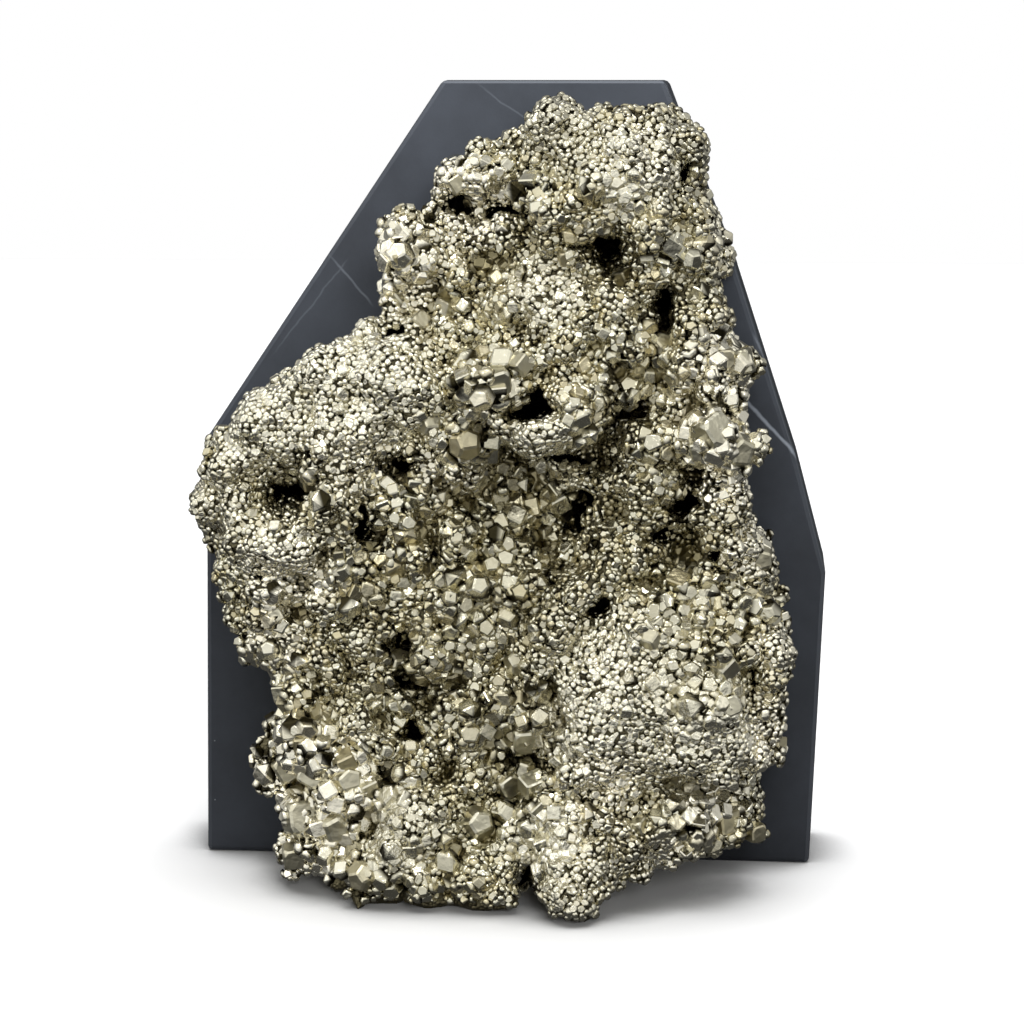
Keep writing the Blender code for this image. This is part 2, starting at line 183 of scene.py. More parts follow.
class Graph(Tree):
    """The shader nodes of a material or of the world."""

    def number(self, kind: str, output: str | int, settings: dict | None, inputs: dict | None = None) -> Number:
        """Adds a node as add() does, and returns one of its outputs as a value."""
        return Number(self, self.add(kind, settings, inputs).outputs[output])

    def split(self, vector: bpy.types.NodeSocket) -> list:
        """Returns the three parts of a vector."""
        return [Number(self, part) for part in self.add("ShaderNodeSeparateXYZ", None, {0: vector}).outputs]

    def place(self) -> bpy.types.NodeSocket:
        """Returns the Object coordinates."""
        return self.add("ShaderNodeTexCoord").outputs["Object"]

    def attribute(self, name: str) -> Number:
        """Returns a mesh attribute as a value."""
        return self.number("ShaderNodeAttribute", "Fac", {"attribute_name": name})

    def noise(self, scale: float, detail: float = 3.0, roughness: float = 0.5) -> Number:
        """Returns a noise from 0 to 1 on the Object coordinates, with scale waves to a metre."""
        sockets = {"Vector": self.place(), "Scale": scale, "Detail": detail, "Roughness": roughness}
        return self.number("ShaderNodeTexNoise", "Fac", None, sockets)

    def mix(self, share: "Number | float", first: object, second: object) -> bpy.types.NodeSocket:
        """Returns the first colour with a share of the second mixed in."""
        node = self.add("ShaderNodeMix", {"data_type": "RGBA"}, {"Factor": share, 6: first, 7: second})
        return node.outputs[2]

    def bump(self, height: Number, distance: float, strength: float = 1.0) -> bpy.types.NodeSocket:
        """Returns a normal bumped by a height pattern, whose whole step is distance metres high."""
        sockets = {"Height": height, "Distance": distance, "Strength": strength}
        return self.add("ShaderNodeBump", None, sockets).outputs["Normal"]

    def surface(self, colour: object, roughness: object, others: dict) -> bpy.types.Node:
        """Returns a Principled shader with the given inputs."""
        inputs = {"Base Color": colour, "Roughness": roughness, **others}
        return self.add("ShaderNodeBsdfPrincipled", None, inputs)


@dataclass(frozen=True)
class Finish:
    """What every finish has: a name, and a paint method that adds its nodes and returns the shader."""

    name: str

    def build(self) -> bpy.types.Material:
        """Returns the material."""
        material = bpy.data.materials.new(self.name)
        material.use_nodes = True
        graph = Graph(material.node_tree)
        graph.add("ShaderNodeOutputMaterial", None, {"Surface": self.paint(graph).outputs[0]})
        return material


@dataclass(frozen=True)
class CrystalFinish(Finish):
    """Bright natural crystal faces, pale silvery brass; painted shade where crystals meet, over hollows and in
    patches; painted light in other patches.
    """

    name: str = "pyrite crystals"
    pale: tuple = (0.66, 0.635, 0.51, 1.0)
    warm: tuple = (0.58, 0.52, 0.34, 1.0)
    frost: tuple = (0.83, 0.80, 0.67, 1.0)
    # tarnish and painted shade: the dark olive laid over the crust's hollows
    tarnish_and_shade: tuple = (0.24, 0.21, 0.12, 1.0)
    # painted shade: the colour of each crystal's foot, where it meets its neighbours
    seam_shade: tuple = (0.032, 0.027, 0.013, 1.0)
    seam_shade_range: tuple = (0.50, 0.82)
    # painted shade: the darker tone laid on listed patches over the hollows and on large crystals' faces
    painted_shade_tone: tuple = (0.40, 0.37, 0.26, 1.0)
    # painted light: the pale tone laid on listed patches that sit in shade
    fair: tuple = (0.92, 0.88, 0.74, 1.0)
    polish: float = 0.10
    swell: float = 0.00010
    crinkle: float = 2.6

    def paint(self, graph: Graph) -> bpy.types.Node:
        """Returns the shader."""
        grain = graph.attribute("grain")
        hollow = graph.attribute("hollow")
        calm = graph.attribute("calm")
        cloud = graph.noise(160.0, 3.0)
        warm = (grain.power(1.6) * 0.8 + cloud * 0.5).step(0.25, 1.1)
        body = graph.mix(warm, self.pale, self.warm)
        body = graph.mix(calm * 0.8, body, self.frost)
        # painted light: the listed patches are brightened
        body = graph.mix(graph.attribute("fair"), body, self.fair)
        # painted shade: darkens listed patches over the hollows and the large crystals' faces
        body = graph.mix(graph.attribute("dim") * 0.65, body, self.painted_shade_tone)
        # tarnish and painted shade: hollows of the crust, and a little noise, turn dark olive and rougher
        dull = (hollow * 0.8 + graph.noise(900.0, 2.0) * 0.3).step(0.32, 0.95)
        body = graph.mix(dull, body, self.tarnish_and_shade)
        # painted shade: each crystal darkens towards its foot, where it meets its neighbours
        colour = graph.mix(graph.attribute("tip").step(*self.seam_shade_range), self.seam_shade, body)
        bold = graph.attribute("bold")
        coarse = graph.attribute("coarse")
        swell = graph.noise(420.0, 1.5) * (bold * 2.0 + coarse * 1.6 + 1.0)
        swell = swell + graph.noise(1200.0, 2.0) * (calm * 0.7 + 0.3) * self.crinkle
        rough = grain * 0.12 + calm * 0.04 + dull * 0.10 + bold * 0.18 + coarse * 0.06 + self.polish
        return graph.surface(colour, rough, {"Metallic": 1.0, "Normal": graph.bump(swell, self.swell)})


@dataclass(frozen=True)
class CrustFinish(Finish):
    """The dark ground between the crystals: packed tiny grains, tarnished at random, with painted shade in its
    hollows and painted black shade inside its pits.
    """

    name: str = "pyrite ground"
    light: tuple = (0.12, 0.105, 0.06, 1.0)
    dark: tuple = (0.03, 0.026, 0.014, 1.0)
    # painted shade: the near black laid inside the pits
    pit: tuple = (0.004, 0.004, 0.003, 1.0)
    grains_per_metre: float = 1500.0
    relief: float = 0.0003

    def paint(self, graph: Graph) -> bpy.types.Node:
        """Returns the shader."""
        cells = {"Vector": graph.place(), "Scale": self.grains_per_metre}
        cells = graph.number("ShaderNodeTexVoronoi", "Distance", None, cells)
        # random tone, and painted shade where the crust is hollow
        tone_and_hollow_shade = (graph.noise(400.0, 3.0) + graph.attribute("hollow")).step(0.3, 1.2)
        colour = graph.mix(tone_and_hollow_shade, self.light, self.dark)
        # painted shade: the inside of each pit turns near black
        colour = graph.mix(graph.attribute("pit").step(0.05, 0.30), colour, self.pit)
        bumps = graph.bump(1.0 - cells, self.relief)
        return graph.surface(colour, tone_and_hollow_shade * 0.25 + 0.35, {"Metallic": 0.9, "Normal": bumps})


@dataclass(frozen=True)
class Vein:
    """A thin straight pale line through the stone, seen from the front, in millimetres."""

    start: tuple
    end: tuple
    width: float
    strength: float


@dataclass(frozen=True)
class StoneFinish(Finish):
    """Matte honed charcoal stone with faint clouds, pale flecks, a few pale veins and a painted highlight along
    its arrises.
    """

    name: str = "honed stone"
    ground: tuple = (0.024, 0.0265, 0.0315, 1.0)
    cloud: tuple = (0.034, 0.038, 0.046, 1.0)
    fleck: tuple = (0.16, 0.17, 0.18, 1.0)
    vein: tuple = (0.20, 0.22, 0.25, 1.0)
    # painted highlight: the lighter tone on the arrises, where the normal turns from the front
    painted_arris_highlight: tuple = (0.085, 0.092, 0.105, 1.0)
    honing: float = 0.50
    gloss: float = 0.15
    relief: float = 0.00003
    flecks_per_metre: float = 330.0
    fleck_size: float = 0.07
    vein_depth: tuple = (-0.0122, -0.0095)
    veins: tuple = (
        Vein((45.5, 97.1), (58.8, 82.6), 0.55, 0.85), Vein((-35.8, 123.2), (-28.0, 114.2), 0.35, 0.25),
        Vein((52.0, 101.5), (49.5, 107.0), 0.35, 0.35), Vein((-47.0, 104.0), (-33.0, 121.5), 0.30, 0.12),
        Vein((-6.0, 157.0), (4.0, 150.0), 0.30, 0.12),
    )

    def line(self, graph: Graph, vein: Vein, x: Number, z: Number, warp: Number) -> Number:
        """Returns how much a vein shows.

        Args:
            graph: the material's tree.
            vein: the vein.
            x: the place's X, in metres.
            z: the place's Z, in metres.
            warp: a small sideways wander, in metres.

        Returns:
            A share from 0 to 1.
        """
        length = math.dist(vein.start, vein.end)
        run, rise = (vein.end[0] - vein.start[0]) / length, (vein.end[1] - vein.start[1]) / length
        x, z = x - vein.start[0] * MM, z - vein.start[1] * MM
        off = (x * rise - z * run + warp).math("ABSOLUTE")
        along = x * run + z * rise
        ends = along.step(-0.003, 0.005) * (1.0 - along.step(length * MM - 0.001, length * MM + 0.002))
        return (1.0 - off.step(0.00005, vein.width * MM)) * ends * vein.strength

    def paint(self, graph: Graph) -> bpy.types.Node:
        """Returns the shader."""
        clouds = graph.noise(38.0, 6.0, 0.62)
        grit = graph.noise(2200.0, 2.0)
        x, y, z = graph.split(graph.place())
        front = 1.0 - y.step(*self.vein_depth)
        warp = (graph.noise(260.0, 3.0) - 0.5) * 0.0009
        cells = graph.add("ShaderNodeTexVoronoi", None, {
            "Vector": graph.place(), "Scale": self.flecks_per_metre,
        }).outputs
        tone = graph.number("ShaderNodeSeparateColor", 0, None, {0: cells["Color"]})
        near = Number(graph, cells["Distance"]) / (tone.step(0.72, 1.0) * self.fleck_size + 0.001)
        flecks = (1.0 - near.step(0.5, 1.0)) * tone.step(0.72, 0.9)
        colour = graph.mix(clouds.step(0.32, 0.72), self.ground, self.cloud)
        colour = graph.mix(flecks * 0.9, colour, self.fleck)
        shown = None
        for vein in self.veins:
            part = self.line(graph, vein, x, z, warp)
            shown = part if shown is None else shown.math("MAXIMUM", part)
        colour = graph.mix(shown * (clouds * 0.6 + 0.6) * front, colour, self.vein)
        # painted highlight along the arrises, found by how far the normal turns from the front
        forward = graph.split(graph.add("ShaderNodeTexCoord").outputs["Normal"])[1].math("ABSOLUTE")
        painted_arris_highlight = forward.step(0.25, 0.60) * (1.0 - forward.step(0.84, 0.96))
        colour = graph.mix(painted_arris_highlight * 0.8, colour, self.painted_arris_highlight)
        rough = clouds * 0.12 + grit * 0.08 + self.honing
        others = {"Specular IOR Level": self.gloss, "Normal": graph.bump(grit, self.relief, 0.5)}
        return graph.surface(colour, rough, others)


@dataclass(frozen=True)
class FloorFinish(Finish):
    """A plain white studio floor, with a painted shadow close to what stands on it."""

    name: str = "studio floor"
    colour: tuple = (0.98, 0.98, 0.98, 1.0)
    contact_shadow: tuple = (0.30, 0.30, 0.30, 1.0)
    contact_shadow_reach: float = 0.013

    def paint(self, graph: Graph) -> bpy.types.Node:
        """Returns the shader."""
        # painted shadow: the floor turns grey where things close by hide it
        reach = {"Distance": self.contact_shadow_reach}
        near = graph.number("ShaderNodeAmbientOcclusion", "AO", {"samples": 8}, reach)
        colour = graph.mix(near.step(0.35, 1.0), self.contact_shadow, self.colour)
        return graph.surface(colour, 0.9, {"Specular IOR Level": 0.1})


@dataclass(frozen=True)
class Pit:
    """A dark hole in the crust: its place, half width, half height and depth, in millimetres."""

    x: float
    z: float
    half_width: float
    half_height: float
    depth: float


@dataclass(frozen=True)
class Patch:
    """A round patch of the front, in millimetres, and how strongly it counts."""

    x: float
    z: float
    radius: float
    strength: float = 1.0


def smooth_step(value: np.ndarray) -> np.ndarray:
    """Returns a soft 0 to 1 ramp."""
    value = np.clip(value, 0.0, 1.0)
    return value * value * (3.0 - 2.0 * value)


def bake_modifiers(thing: bpy.types.Object) -> None:
    """Gives an object the plain mesh that its modifiers make, and drops the modifiers."""
    graph = bpy.context.evaluated_depsgraph_get()
    graph.update()
    mesh = bpy.data.meshes.new_from_object(thing.evaluated_get(graph))
    thing.modifiers.clear()
    thing.data = mesh


def add_object(name: str, data: bpy.types.ID) -> bpy.types.Object:
    """Returns a new object in the scene, at the origin.

    Args:
        name: the object's name.
        data: its mesh, light or camera.

    Returns:
        The object.
    """
    thing = bpy.data.objects.new(name, data)
    bpy.context.scene.collection.objects.link(thing)
    return thing


def read(items: bpy.types.bpy_prop_collection, name: str, width: int = 3) -> np.ndarray:
    """Reads a property of a mesh's points.

    Args:
        items: the points, or a list with one item for each of them.
        name: the property.
        width: how many numbers it has.

    Returns:
        A row for each point.
    """
    flat = np.empty(len(items) * width, np.float32)
    items.foreach_get(name, flat)
    return flat.reshape(-1, width).astype(np.float64)


def write_points(mesh: bpy.types.Mesh, points: np.ndarray) -> None:
    """Moves a mesh's points to the given rows, in metres."""
    mesh.vertices.foreach_set("co", points.astype(np.float32).ravel())
    mesh.update()


def spread(mesh: bpy.types.Mesh, values: np.ndarray, rounds: int) -> np.ndarray:
    """Averages values over the mesh's edges.

    Args:
        mesh: the mesh.
        values: one row for each point.
        rounds: how many times the values are averaged.

    Returns:
        The averaged values.
    """
    pairs = np.empty(len(mesh.edges) * 2, np.int32)
    mesh.edges.foreach_get("vertices", pairs)
    first, second = pairs[0::2], pairs[1::2]
    count = np.bincount(pairs, minlength=len(mesh.vertices)).clip(1)[:, None]
    values = values.reshape(len(mesh.vertices), -1).copy()
    for _ in range(rounds):
        total = np.zeros_like(values)
        for column in range(values.shape[1]):
            total[:, column] += np.bincount(first, values[second, column], len(values))
            total[:, column] += np.bincount(second, values[first, column], len(values))
        values = 0.5 * values + 0.5 * total / count
    return values


def store(mesh: bpy.types.Mesh, name: str, values: np.ndarray) -> None:
    """Keeps a number for each point of a mesh under a name."""
    attribute = mesh.attributes.new(name, "FLOAT", "POINT")
    attribute.data.foreach_set("value", values.astype(np.float32))


def rows(kind: type, *values: tuple) -> tuple:
    """Returns an item of a kind for each row of its values."""
    return tuple(kind(*row) for row in values)


@dataclass
class Crust:
    """The cluster's ground: the solid's lobes on a finer mesh, with deeper pits and fine relief.

    Sizes are in millimetres. Waves, knobs and lumps are rows of a width, a height and, for knobs, the share
    that is kept where the crust is calm. The rim says how far right the crust reaches at a height, and the
    hem how low it may hang at a place across: first the places, then the limits.
    """

    seed: int = 5
    voxel: float = 0.88
    ease_rounds: int = 6
    shrink: float = 0.9
    relief: tuple = ((13.0, 1.0), (5.5, 0.5), (2.6, 0.3))
    knobs: tuple = ((7.0, 1.9, 0.45), (3.6, 0.85, 0.8))
    knob_reach: float = 0.72
    knob_foot: float = -0.7
    lumps: tuple = ((8.0, 2.4), (4.2, 0.9))
    seam_share: float = 0.34
    seam_calmed: float = 0.8
    patch_edge: tuple = (1.6, 1.2)
    slab_gap: float = 0.3
    held_back: float = 2.5
    held_floor: float = 2.0
    bare_edge: float = 1.6
    hollows: tuple = ((30, 1.4), (130, 0.5))
    hollow_depth: float = 3.0
    pit_edge: tuple = (1.25, 1.9)
    pit_bare: float = 0.5
    pit_floor: float = 4.0
    pits: tuple = rows(
        Pit,
        (-40.4, 78.0, 4.4, 1.7, 10), (-17, 84.6, 2.2, 2.4, 10), (8.4, 96.8, 4.6, 1.6, 10),
        (20.6, 126.8, 1.8, 3.2, 6), (31.8, 114.5, 1.2, 4.2, 9), (37.8, 139, 1.0, 3.6, 6),
        (36.5, 77, 1.5, 3.6, 9), (42.4, 67.4, 1.2, 1.9, 7), (-16.9, 41.2, 2.8, 1.2, 6),
        (-25.0, 74.6, 0.9, 5.4, 6), (1.5, 133, 4.0, 1.3, 6), (-8, 133.4, 2.4, 1.1, 5),
        (19.8, 57.8, 1.5, 1.4, 6), (-20.5, 50, 2.2, 0.6, 3.5), (-16.7, 33.6, 1.2, 1.8, 5),
        (9.8, 28.0, 2.6, 1.0, 5), (15.8, 75, 1.0, 4.5, 5), (31.7, 71.2, 2.4, 1.2, 5),
        (7.1, 4.5, 0.8, 4.0, 6), (26.5, 9.2, 1.5, 1.2, 4), (-35.3, 87, 1.2, 1.8, 4),
        (-20.2, 110.8, 2.6, 1.0, 4), (-12, 67, 1.4, 1.2, 5), (12.5, 85.5, 5.0, 1.0, 5),
        (24.5, 96, 2.8, 1.5, 5), (50.6, 43, 0.7, 3.0, 4), (-46, 62.5, 3.4, 0.6, 3),
    )
    calm: tuple = rows(
        Patch,
        (-26, 101, 15), (-45, 92, 11), (27, 142, 9), (9, 90, 8), (24, 40, 17), (40, 34, 13), (11, 12, 9),
        (-18, 15, 9), (12, 149, 7), (10, 118, 7), (-56, 76, 8), (-42, 66, 9), (15, -1, 8),
    )
    # patches of painted shade over the cluster's hollows
    dim: tuple = rows(
        Patch,
        (3, 76, 15, 0.5), (-12, 44, 12, 0.5), (3, 34, 12, 0.6), (0, 56, 12, 0.45), (33, 72, 8, 0.5),
        (-4, 20, 8, 0.4), (26, 96, 7, 0.5), (12, 150, 8, 0.5), (6, 121, 11, 0.4), (-57, 76, 9, 0.35),
        (10, 118, 9, 0.3), (15, 2, 10, 0.5), (36, 46, 9, 0.5), (-14, 12, 12, 0.5), (-2, 18, 9, 0.4),
        (37, 56, 8, 0.4),
    )
    # patches of painted light, which lift crystals in shaded places
    fair: tuple = rows(
        Patch,
        (-20, 122, 9), (-6, 134, 10), (43, 96, 10), (42, 106, 7, 0.8), (-36, 20, 14), (-44, 48, 7, 0.6),
        (54, 50, 5, 0.6), (55, 33, 8, 0.9), (42, 20, 7, 0.9), (-40, 8, 8, 0.7), (-28, 84, 9, 0.5),
        (50, 68, 6, 0.8), (46, 128, 7, 0.6), (-40, 62, 9, 0.9), (22, 24, 8, 0.7), (-38, 2, 9),
        (0, 98, 6, 0.6), (44, 84, 8), (-8, 84, 7, 0.6), (20, 10, 8, 0.4), (33, 8, 8, 0.8),
    )
    trims: tuple = rows(Patch, (46, 141, 15, 2.8), (48, 124, 9, 1.8), (-59, 74, 10, 1.4))
    rim: tuple = ((117.0, 124.0, 127.0, 132.0, 136.0, 140.0, 146.0, 149.5, 152.0),
                  (60.0, 44.3, 43.0, 40.8, 39.4, 38.6, 38.2, 37.0, 34.6))
    hem: tuple = ((28.0, 38.4, 51.0), (0.0, 9.2, 11.6))
    past_kept: float = 0.3
    coarse: tuple = rows(
        Patch,
        (-39, 28, 11), (-34, 16, 12), (-30, 6, 8), (41, 18, 8), (44, 92, 9), (37, 60, 9, 0.75),
        (39, 44, 8, 0.95), (3, 76, 13, 0.8), (-3, 60, 12, 0.75), (5, 33, 11, 0.95), (-12, 44, 13, 0.75),
        (-24, 62, 9, 0.75), (-18, 76, 9, 0.7), (27, 104, 10, 0.75), (42, 106, 8, 0.8), (-20, 124, 7, 1.0),
        (-36, 81, 5, 0.9), (-1, 101, 7, 1.0), (-5, 90, 6, 1.0), (8, 18, 10, 0.8), (-22, 24, 10, 0.8),
        (-42, 55, 7, 0.6), (24, 132, 9, 0.6), (6, 137, 6, 0.6), (-5, 139, 7, 0.6), (-44, 44, 8, 0.7),
        (-14, 4, 12, 0.7), (35, 124, 8, 0.65), (-30, 113, 7, 0.55), (49, 58, 6, 0.8), (33, 88, 8, 0.65),
        (20, 96, 8, 0.7), (-2, 118, 9, 0.5),
    )

    def __post_init__(self) -> None:
        """Finds the slab's front face."""
        self.face = float(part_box(SLAB_NODE)[0][1])

    def copy_solid(self) -> bpy.types.Object:
        """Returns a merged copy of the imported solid."""
        mesh = frame["nodes"][CLUSTER_NODE].data.copy()
        mesh.name = "pyrite_crust"
        surface = bmesh.new()
        surface.from_mesh(mesh)
        bmesh.ops.remove_doubles(surface, verts=surface.verts, dist=0.000001)
        surface.to_mesh(mesh)
        surface.free()
        if "custom_normal" in mesh.attributes:
            mesh.attributes.remove(mesh.attributes["custom_normal"])
        return add_object("pyrite_crust", mesh)

    def refine(self, crust: bpy.types.Object) -> None:
        """Remeshes the copy finely and eases its facets."""
        remesh = crust.modifiers.new("fine", "REMESH")
        remesh.mode = "VOXEL"
        remesh.voxel_size = self.voxel * MM
        bake_modifiers(crust)
        mesh = crust.data
        points = read(mesh.vertices, "co")
        eased = spread(mesh, points, self.ease_rounds)
        write_points(mesh, points + (eased - points) * self.free_to_move(points))

    def free_to_move(self, points: np.ndarray) -> np.ndarray:
        """Returns 0 at the sawn back and the floor and 1 away from them.

        Args:
            points: places as rows, in metres.

        Returns:
            One column of shares.
        """
        back = smooth_step((self.face - points[:, 1]) / MM / self.held_back - 0.3)
        floor = smooth_step(points[:, 2] / MM / self.held_floor)
        return (back * floor)[:, None]

    def roughen(self, crust: bpy.types.Object) -> None:
        """Adds small lobes and grit to the eased surface, and sinks the pits."""
        noise.seed_set(self.seed)
        mesh = crust.data
        points, normals = read(mesh.vertices, "co"), read(mesh.vertex_normals, "vector")
        moved = points + normals * self.lift(points, normals)[:, None] * MM
        low = np.interp(moved[:, 0] / MM, *self.hem) * MM - moved[:, 2]
        moved[:, 2] += low.clip(0.0) * (1.0 - self.past_kept)
        depth, inside = self.sink(points, normals)
        store(mesh, "pit", inside)
        moved[:, 1] += depth * MM
        moved = points + (moved - points) * self.free_to_move(points)
        over = moved[:, 0] - np.interp(moved[:, 2] / MM, *self.rim) * MM
        moved[:, 0] -= over.clip(0.0) * (1.0 - self.past_kept)
        moved[:, 1] = np.minimum(moved[:, 1], self.face - self.slab_gap * MM)
        moved[:, 2] = np.maximum(moved[:, 2], 0.0)
        write_points(mesh, moved)

    def lift(self, points: np.ndarray, normals: np.ndarray) -> np.ndarray:
        """Returns how far each point of the surface moves outwards.

        Args:
            points: places as rows, in metres.
            normals: the surface's normals there.

        Returns:
            A distance in millimetres for each point.
        """
        lift = np.full(len(points), -self.shrink)
        for wave, height in self.relief:
            lift += np.array([noise.noise(Vector(point / (wave * MM))) for point in points]) * height
        calm = self.within(points, self.calm)
        for cell, height, kept in self.knobs:
            reach = self.cells(points, cell)[:, 0] / self.knob_reach
            lift += (1.0 - reach * reach).clip(self.knob_foot) * height * (1.0 - (1.0 - kept) * calm)
        for cell, depth in self.lumps:
            near = self.cells(points, cell)
            seams = 1.0 - smooth_step((near[:, 1] - near[:, 0]) / self.seam_share)
            lift -= seams * depth * (1.0 - self.seam_calmed * calm)
        return lift - self.within(points, self.trims) * np.abs(normals[:, 0])

    def sink(self, points: np.ndarray, normals: np.ndarray) -> tuple:
        """Returns how deep the pits are at each point.

        Args:
            points: places as rows, in metres.
            normals: the surface's normals there.

        Returns:
            The depth in millimetres, and how far inside a pit the point is, from 0 to 1.
        """
        depth, inside = np.zeros(len(points)), np.zeros(len(points))
        facing = smooth_step(-normals[:, 1] * 1.5 + 0.4)
        for pit in self.pits:
            across = (points[:, 0] / MM - pit.x) / pit.half_width
            up = (points[:, 2] / MM - pit.z) / pit.half_height
            share = smooth_step((self.pit_edge[0] - np.hypot(across, up)) * self.pit_edge[1]) * facing
            depth = np.maximum(depth, pit.depth * share)
            inside = np.maximum(inside, share)
        room = (self.face - points[:, 1]) / MM - self.pit_floor
        return np.clip(depth, 0.0, room.clip(0.0)), inside

    def cells(self, points: np.ndarray, width: float) -> np.ndarray:
        """Returns how far each place is from the middles of the two nearest lumps.

        Args:
            points: places as rows, in metres.
            width: how wide the lumps are, in millimetres.

        Returns:
            Rows of the two distances, as shares of the width.
        """
        found = []
        for point in points:
            place = Vector(point / MM)
            bent = place / width + noise.noise_vector(place / (width * 0.9)) * 0.35
            found.append(noise.voronoi(bent)[0][:2])
        return np.array(found)

    def within(self, points: np.ndarray, patches: tuple) -> np.ndarray:
        """Returns how far inside any of the patches each place is.

        Args:
            points: places as rows, in metres.
            patches: the patches.

        Returns:
            A share from 0 to 1 for each place.
        """
        share = np.zeros(len(points))
        edge, fall = self.patch_edge
        for patch in patches:
            away = np.hypot(points[:, 0] / MM - patch.x, points[:, 2] / MM - patch.z)
            share = np.maximum(share, patch.strength * smooth_step(edge - away / patch.radius * fall))
        return share

    def mark(self, crust: bpy.types.Object) -> None:
        """Stores how hollow each place is, the patches that it lies in and where nothing grows."""
        mesh = crust.data
        points, normals = read(mesh.vertices, "co"), read(mesh.vertex_normals, "vector")
        eased, sunk = points, 0.0
        for rounds, share in self.hollows:
            eased = spread(mesh, eased, rounds)
            sunk = sunk + ((eased - points) * normals).sum(1) * share
        hollow = smooth_step(sunk / MM / self.hollow_depth)
        store(mesh, "hollow", spread(mesh, hollow, 2)[:, 0])
        for name in ("coarse", "calm", "dim", "fair"):
            store(mesh, name, self.within(points, getattr(self, name)))
        near_back = points[:, 1] > self.face - self.bare_edge * MM
        near_floor = points[:, 2] < self.bare_edge * MM
        in_pit = read(mesh.attributes["pit"].data, "value", 1)[:, 0] > self.pit_bare
        store(mesh, "bare", (near_back | near_floor | in_pit).astype(float))

    def build(self, finish: bpy.types.Material) -> bpy.types.Object:
        """Builds the crust.

        Args:
            finish: its material.

        Returns:
            The crust as one closed mesh.
        """
        crust = self.copy_solid()
        self.refine(crust)
        self.roughen(crust)
        self.mark(crust)
        crust.data.materials.clear()
        crust.data.materials.append(finish)
        crust.data.shade_smooth()
        return crust


BEAD = (0.20, (0.92, 1.08), ((0.30, 0.45), (0.50, 0.27), (0.58, -0.02)))
COBBLE = (0.24, (0.86, 1.12), ((0.40, 0.43), (0.53, 0.28), (0.60, -0.05)))


@dataclass
class CrystalShapes:
    """The few crystal shapes that the layers repeat, each about 1 mm across."""

    name: str = "crystal shapes"
    wear: float = 0.07

    def hull(self, name: str, points: list, soft: bool) -> bpy.types.Object:
        """Returns a solid around the given points.

        Args:
            name: the shape's name.
            points: its corners, about 1 apart.
            soft: whether its sides are shaded like a worn grain's, not like a cut gem's.

        Returns:
            The shape as an object, sized in millimetres.
        """
        surface = bmesh.new()
        for point in points:
            surface.verts.new(Vector(point) * MM)
        bmesh.ops.convex_hull(surface, input=surface.verts)
        bmesh.ops.dissolve_limit(
            surface, angle_limit=math.radians(1.0), verts=surface.verts, edges=surface.edges,
        )
        if "worn" in name:
            bmesh.ops.bevel(surface, geom=surface.edges, offset=self.wear * MM, segments=1, affect="EDGES")
        bmesh.ops.recalc_face_normals(surface, faces=surface.faces)
        for face in surface.faces:
            face.smooth = soft and ("bead" in name or face.normal.z < 0.99)
        mesh = bpy.data.meshes.new(name)
        surface.to_mesh(mesh)
        surface.free()
        height = read(mesh.vertices, "co")[:, 2]
        store(mesh, "tip", (height - height.min()) / (height.max() - height.min()))
        return bpy.data.objects.new(name, mesh)

    def grain(self, seed: int, sides: int, sway: float, reaches: tuple, rings: tuple) -> list:
        """Returns the corners of a grain with a pointed underside.

        Args:
            seed: draws its uneven outline.
            sides: how many sides the outline has.
            sway: how far a side may turn, as a share of its width.
            reaches: how short and how long a side may be.
            rings: the share of the reach and the height of each ring of corners.
        """
        draw = random.Random(seed)
        corners = [(0.0, 0.0, -0.45)]
        for side in range(sides):
            angle = math.tau * (side + draw.uniform(-sway, sway)) / sides
            reach = draw.uniform(*reaches)
            for share, height in rings:
                corners.append((reach * share * math.cos(angle), reach * share * math.sin(angle), height))
        return corners

    def cube(self) -> list:
        """Returns a cube's corners."""
        return [(x, y, z) for x in (-0.5, 0.5) for y in (-0.5, 0.5) for z in (-0.5, 0.5)]

    def cuboctahedron(self) -> list:
        """Returns the corners of a cube cut to its edges' middles."""
        half = 0.62
        pairs = [(a * half, b * half) for a in (-1, 1) for b in (-1, 1)]
        return [
            *((a, b, 0.0) for a, b in pairs),
            *((a, 0.0, b) for a, b in pairs),
            *((0.0, a, b) for a, b in pairs),
        ]

    def pyritohedron(self) -> list:
        """Returns the corners of the twelve-faced pyrite form."""
        far, near = 0.75, 0.375
        corners = self.cube()
        for a in (-1, 1):
            for b in (-1, 1):
                corners += [(0.0, a * far, b * near), (a * near, 0.0, b * far), (a * far, b * near, 0.0)]
        return corners

    def cut_cube(self) -> list:
        """Returns the corners of a cube with its corners cut off."""
        cut = 0.56
        corners = []
        for x, y, z in self.cube():
            corners += [(x * cut, y, z), (x, y * cut, z), (x, y, z * cut)]
        return corners

    def build(self, names: tuple) -> bpy.types.Collection:
        """Makes a hidden collection of shapes.

        Args:
            names: the shapes' names, in the order in which a layer picks them.

        Returns:
            The collection.
        """
        collection = bpy.data.collections.new(self.name)
        forms = {
            "cube": self.cube(), "cuboctahedron": self.cuboctahedron(), "pyritohedron": self.pyritohedron(),
            "bead_a": self.grain(7, 5, *BEAD), "bead_b": self.grain(8, 6, *BEAD),
            "bead_c": self.grain(9, 5, *BEAD),
            "cobble_a": self.grain(3, 5, *COBBLE), "cobble_b": self.grain(4, 6, *COBBLE),
            "cobble_c": self.grain(5, 5, *COBBLE), "cobble_d": self.grain(6, 4, *COBBLE),
        }
        for number, name in enumerate(names):
            corners = forms[name.removeprefix("soft_").removeprefix("worn_")]
            collection.objects.link(self.hull(f"{number}_{name}", corners, name.startswith("soft_")))
        return collection

    def discard(self, collection: bpy.types.Collection) -> None:
        """Removes a collection of shapes once its layer is made."""
        for thing in list(collection.objects):
            bpy.data.objects.remove(thing, do_unlink=True)
        bpy.data.collections.remove(collection)


MOST_CRYSTALS = 9.0e6


